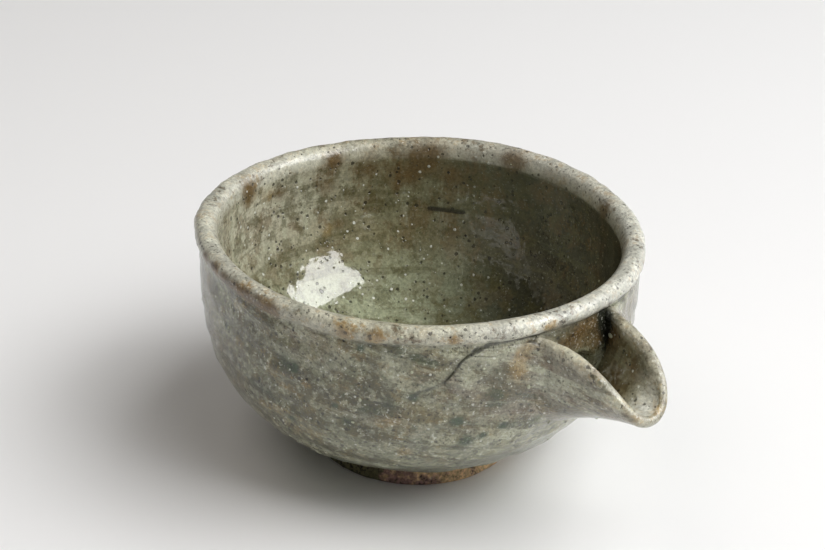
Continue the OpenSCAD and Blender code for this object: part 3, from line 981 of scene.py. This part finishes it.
def keepZones(piece, zones):
    for name, values in zones.items():
        attribute = piece.data.attributes.new(name, "FLOAT", "POINT")
        attribute.data.foreach_set("value", np.clip(values, 0, 1).astype(np.float32))
    piece.data.attributes.remove(piece.data.attributes["rest"])


# The thrown bowl: its profile is a line, spun and cut by nodes
thrown = {
    "Profile Steps": 262, "Turn Steps": 364, "Merge": 0.003 * mm, "Hole Length": 16.0 * mm, "Hole Steps": 96,
    "Hole Rings": 40, "Hole Flare": 0.16, "Flare Start": 1.2 * mm, "Flare End": 3.2 * mm,
}


def thrownBowlTree(sizes):
    tree, size = newTree("thrownBowl", sizes)
    grid = addNode(tree, "GeometryNodeMeshGrid", {"Size X": 1.0, "Size Y": 1.0,
                   "Vertices X": size["Profile Steps"], "Vertices Y": size["Turn Steps"]})
    along, around, _ = apart(output(grid, "UV Map"))
    profile = addNode(tree, "GeometryNodeMeshToCurve", {"Mesh": size["Geometry"]})
    line = addNode(tree, "GeometryNodeSampleCurve", {"Curves": profile, "Factor": along},
                   mode="FACTOR", use_all_curves=True)
    radius, _, height = apart(output(line, "Position"))
    turn = around * math.tau
    spun = together(radius * turn.calc("COSINE"), radius * turn.calc("SINE"), height)
    shape = shift(output(grid, "Mesh"), Position=spun)
    closed = addNode(tree, "GeometryNodeMergeByDistance", {"Geometry": shape, "Distance": size["Merge"]})
    facing = addNode(tree, "GeometryNodeFlipFaces", {"Mesh": closed})
    # the pour hole flares a little towards both faces of the wall
    drill = addNode(tree, "GeometryNodeMeshCylinder", {"Vertices": size["Hole Steps"],
                    "Side Segments": size["Hole Rings"],
                    "Radius": size["Hole Diameter"] * 0.5, "Depth": size["Hole Length"]})
    x, y, z = apart(field(tree, "Position"))
    flare = z.calc("ABSOLUTE").ramp(size["Flare Start"], size["Flare End"]) * size["Hole Flare"] + 1.0
    horn = shift(output(drill, "Mesh"), Position=together(x * flare, y * flare, z))
    centre = together(size["Hole Reach"], 0.0, size["Hole Height"])
    aimed = addNode(tree, "GeometryNodeTransform", {"Geometry": horn, "Translation": centre,
                    "Rotation": (0, math.pi / 2, 0)})
    cut = addNode(tree, "GeometryNodeMeshBoolean", {"Mesh 1": facing, "Mesh 2": aimed},
                  operation="DIFFERENCE", solver="MANIFOLD")
    smooth = addNode(tree, "GeometryNodeSetShadeSmooth", {"Geometry": output(cut, "Mesh")})
    return endTree(smooth, size["Glaze"])


def makeBowl():
    profile = bowlProfile() * mm
    ends = [(k, k + 1) for k in range(len(profile) - 1)]
    source = meshObject("bowlProfile", [(r, 0, z) for r, z in profile], [], ends)
    middle = wallRadius(holeZ) - bowl["wall"] / 2
    sizes = {**thrown, "Hole Diameter": bowl["holeDiameter"] * mm, "Hole Height": holeZ * mm,
             "Hole Reach": float(middle) * mm, "Glaze": glazeMat}
    useTree(source, thrownBowlTree(sizes), sizes)
    piece = handShape(source, "thrownBowl", hand, glazeMat)
    paintBowl(piece)
    return piece


thrownBowl = makeBowl()
print("bowl thrown")


# The spout as a solid: two skins, a half-round edge and a root sunk in the wall
spoutHand = {**hand, "Lump Depth": 1.3 * mm, "Grit Depth": 0.6 * mm}


def sunkIn(p):
    seated = onWall(p)
    return seated - unit(seated * flat) * spout["sunk"]


def makeSpout():
    rows = spout["rows"]
    columns = spout["columns"]
    steps = spout["roundSteps"]
    s, w = np.meshgrid(np.linspace(0, 1, rows + 1), np.linspace(0, 1, columns + 1), indexing="ij")
    middle = spoutMiddle(s, w)
    normal = spoutNormal(s, w)
    half = spoutThick(s, w)[..., None] / 2
    outer = middle + normal * half
    inner = middle - normal * half
    first = (s == 0)[..., None]
    for skin in (outer, inner):
        deep = (np.linalg.norm(skin[..., :2], axis=-1) < wallRadius(skin[..., 2]))[..., None]
        skin[...] = np.where(first | deep, sunkIn(skin), skin)
    # the border runs down one side, along the lip and back up the other side
    bi = np.concatenate([np.arange(rows), np.full(columns, rows), np.arange(rows, -1, -1)])
    bj = np.concatenate([np.zeros(rows, int), np.arange(columns), np.full(rows + 1, columns)])
    line = middle[bi, bj]
    away = unit(np.cross(normal[bi, bj], np.gradient(line, axis=0)))
    count = (rows + 1) * (columns + 1)
    points = [outer.reshape(-1, 3), inner.reshape(-1, 3)]
    ids = np.arange(count).reshape(rows + 1, columns + 1)
    rings = [ids[bi, bj]]
    for k in range(1, steps):
        a = math.pi * k / steps
        roll = line + half[bi, bj] * (math.cos(a) * normal[bi, bj] + math.sin(a) * away)
        roll[[0, -1]] = sunkIn(roll[[0, -1]])
        points.append(roll)
        rings.append(2 * count + (k - 1) * len(bi) + np.arange(len(bi)))
    rings.append(ids[bi, bj] + count)
    faces = []
    for quad in gridFaces(ids):
        faces += [quad, tuple(n + count for n in reversed(quad))]
    faces += gridFaces(np.stack(rings))
    for j in range(columns):
        faces.append((ids[0, j], ids[0, j + 1], ids[0, j + 1] + count, ids[0, j] + count))
    faces.append(tuple(ring[0] for ring in reversed(rings)))
    faces.append(tuple(ring[-1] for ring in rings))
    source = meshObject("troughSpout", np.concatenate(points) * mm, faces)
    piece = handShape(source, "troughSpout", spoutHand, glazeMat)
    within = np.zeros(len(piece.data.vertices))
    least = spout["insideLeast"]
    within[count:2 * count] = softStep(1 - s.ravel(), *spout["insideFade"]) * (1 - least) + least
    lip = np.zeros(len(within))
    # the trough's floor near the tip is painted pale: painted light where it faces up to the lamps, and pale
    # grains
    bright = softStep(s.ravel(), *spout["lipFade"]) * np.sin(np.pi * w.ravel()) ** 2
    lip[count:2 * count] = bright * spout["lipShare"]
    paintSpout(piece, within, lip)
    return piece


troughSpout = makeSpout()
print("spout pulled")


def makeLuting():
    columns, steps = lutingTops.shape[:2]
    ring = np.concatenate([lutingTops, lutingLows[:, ::-1]], axis=1)
    ids = np.arange(columns * 2 * steps).reshape(columns, -1)
    faces = [(a, d, c, b) for a, b, c, d in gridFaces(np.pad(ids, ((0, 0), (0, 1)), mode="wrap"))]
    for row, way in ((ids[0], 1), (ids[-1], -1)):
        for k in range(steps - 1):
            faces.append((row[k], row[-1 - k], row[-2 - k], row[k + 1])[::way])
    source = meshObject("lutingSmear", ring.reshape(-1, 3) * mm, faces)
    piece = handShape(source, "lutingSmear", hand, glazeMat)
    none = np.zeros(len(piece.data.vertices))
    paintSpout(piece, none, none)
    return piece


lutingSmear = makeLuting()
print("spout luted on")

# The foot: a turned ring of bare clay that stands flat
footHand = {**hand, "Dent Depth": 0.7 * mm, "Lump Depth": 0.8 * mm, "Ridge Depth": 0.0}


def makeFoot():
    r = foot["diameter"] / 2
    inR = r - foot["ring"]
    top = foot["height"] + foot["sunk"]
    corners = [(inR + foot["bevel"], 0), (r - foot["bevel"], 0), (r, foot["bevel"]), (joinR, top),
               (inR - foot["waist"], top), (inR, foot["bevel"])]
    line = []
    for a, b in zip(corners, corners[1:] + corners[:1]):
        pieces = max(2, int(math.dist(a, b) / foot["stepLength"]))
        line += [np.add(a, np.subtract(b, a) * k / pieces) for k in range(pieces)]
    line = np.array(line)
    turns = foot["turnSteps"]
    a = np.linspace(0, math.tau, turns, endpoint=False)[:, None]
    points = spin(line[:, 0], a, line[:, 1])
    ids = np.arange(turns * len(line)).reshape(turns, -1)
    faces = gridFaces(np.pad(ids, ((0, 1), (0, 1)), mode="wrap"))
    source = meshObject("footRing", points.reshape(-1, 3) * mm, faces)
    piece = handShape(source, "footRing", footHand, clayMat)
    for vertex in piece.data.vertices:
        vertex.co.z = max(vertex.co.z, 0.0)
    piece.data.attributes.remove(piece.data.attributes["rest"])
    return piece


footRing = makeFoot()
print("foot turned")


# Feldspar and iron grains that stand out of the glaze
def feldsparTree(sizes):
    tree, size = newTree("feldspar", sizes)
    x, y, z = apart(field(tree, "Position"))
    faceX, faceY, _ = apart(field(tree, "Normal"))
    outward = faceX * x + faceY * y
    grainy = addNode(tree, "GeometryNodeInputNamedAttribute", {"Name": "grainy"}, data_type="FLOAT")
    crowd = outward.ramp(-0.01, 0.01, size["Inside Share"], 1.0) + grainy * size["Crowding"]
    sown = addNode(tree, "GeometryNodeDistributePointsOnFaces", {"Mesh": size["Geometry"],
                   "Seed": size["Seed"], "Density": crowd * size["Density"],
                   "Selection": z.calc("GREATER_THAN", size["Lowest"])})

    def chance(seed):
        return output(addNode(tree, "FunctionNodeRandomValue", {"Seed": seed}, data_type="FLOAT"), 1)

    # most grains are small, and the dark ones are smaller still
    grown = chance(1).calc("POWER", size["Rarity"])
    dark = chance(3).calc("LESS_THAN", size["Dark Share"])
    radius = (size["Small"] + (size["Large"] - size["Small"]) * grown) * (1 - dark * size["Dark Loss"])
    shape = together(radius * (chance(2) + 0.6), radius, radius * size["Flatness"])
    ball = addNode(tree, "GeometryNodeMeshIcoSphere", {"Radius": 1.0, "Subdivisions": 2})
    smooth = addNode(tree, "GeometryNodeSetShadeSmooth", {"Geometry": output(ball, "Mesh")})
    spread = addNode(tree, "GeometryNodeInstanceOnPoints", {"Points": output(sown, "Points"),
                     "Instance": smooth, "Rotation": output(sown, "Rotation"), "Scale": shape})
    kept = addNode(tree, "GeometryNodeStoreNamedAttribute", {"Geometry": spread, "Name": "dark",
                   "Value": dark}, data_type="FLOAT", domain="INSTANCE")
    return endTree(kept, size["Glaze"])


grainSizes = {**feldspar, "Glaze": grainMat}
feldsparSown = feldsparTree(grainSizes)


def sowGrains(piece, name):
    source = addObject(name, piece.data.copy())
    useTree(source, feldsparSown, grainSizes)
    return settle(source, name)


sown = [sowGrains(thrownBowl, "bowlGrains"), sowGrains(troughSpout, "spoutGrains"),
        sowGrains(lutingSmear, "smearGrains")]
for grainsPiece in sown:
    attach(grainsPiece, "root")
print("grains sown")

for piece, node, slot in ((thrownBowl, "bowl", "ash_glaze"), (troughSpout, "spout", "ash_glaze"),
                          (lutingSmear, "luting_coil", "ash_glaze"), (footRing, "foot_ring", "bare_clay")):
    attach(piece, "root")
    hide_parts(node)
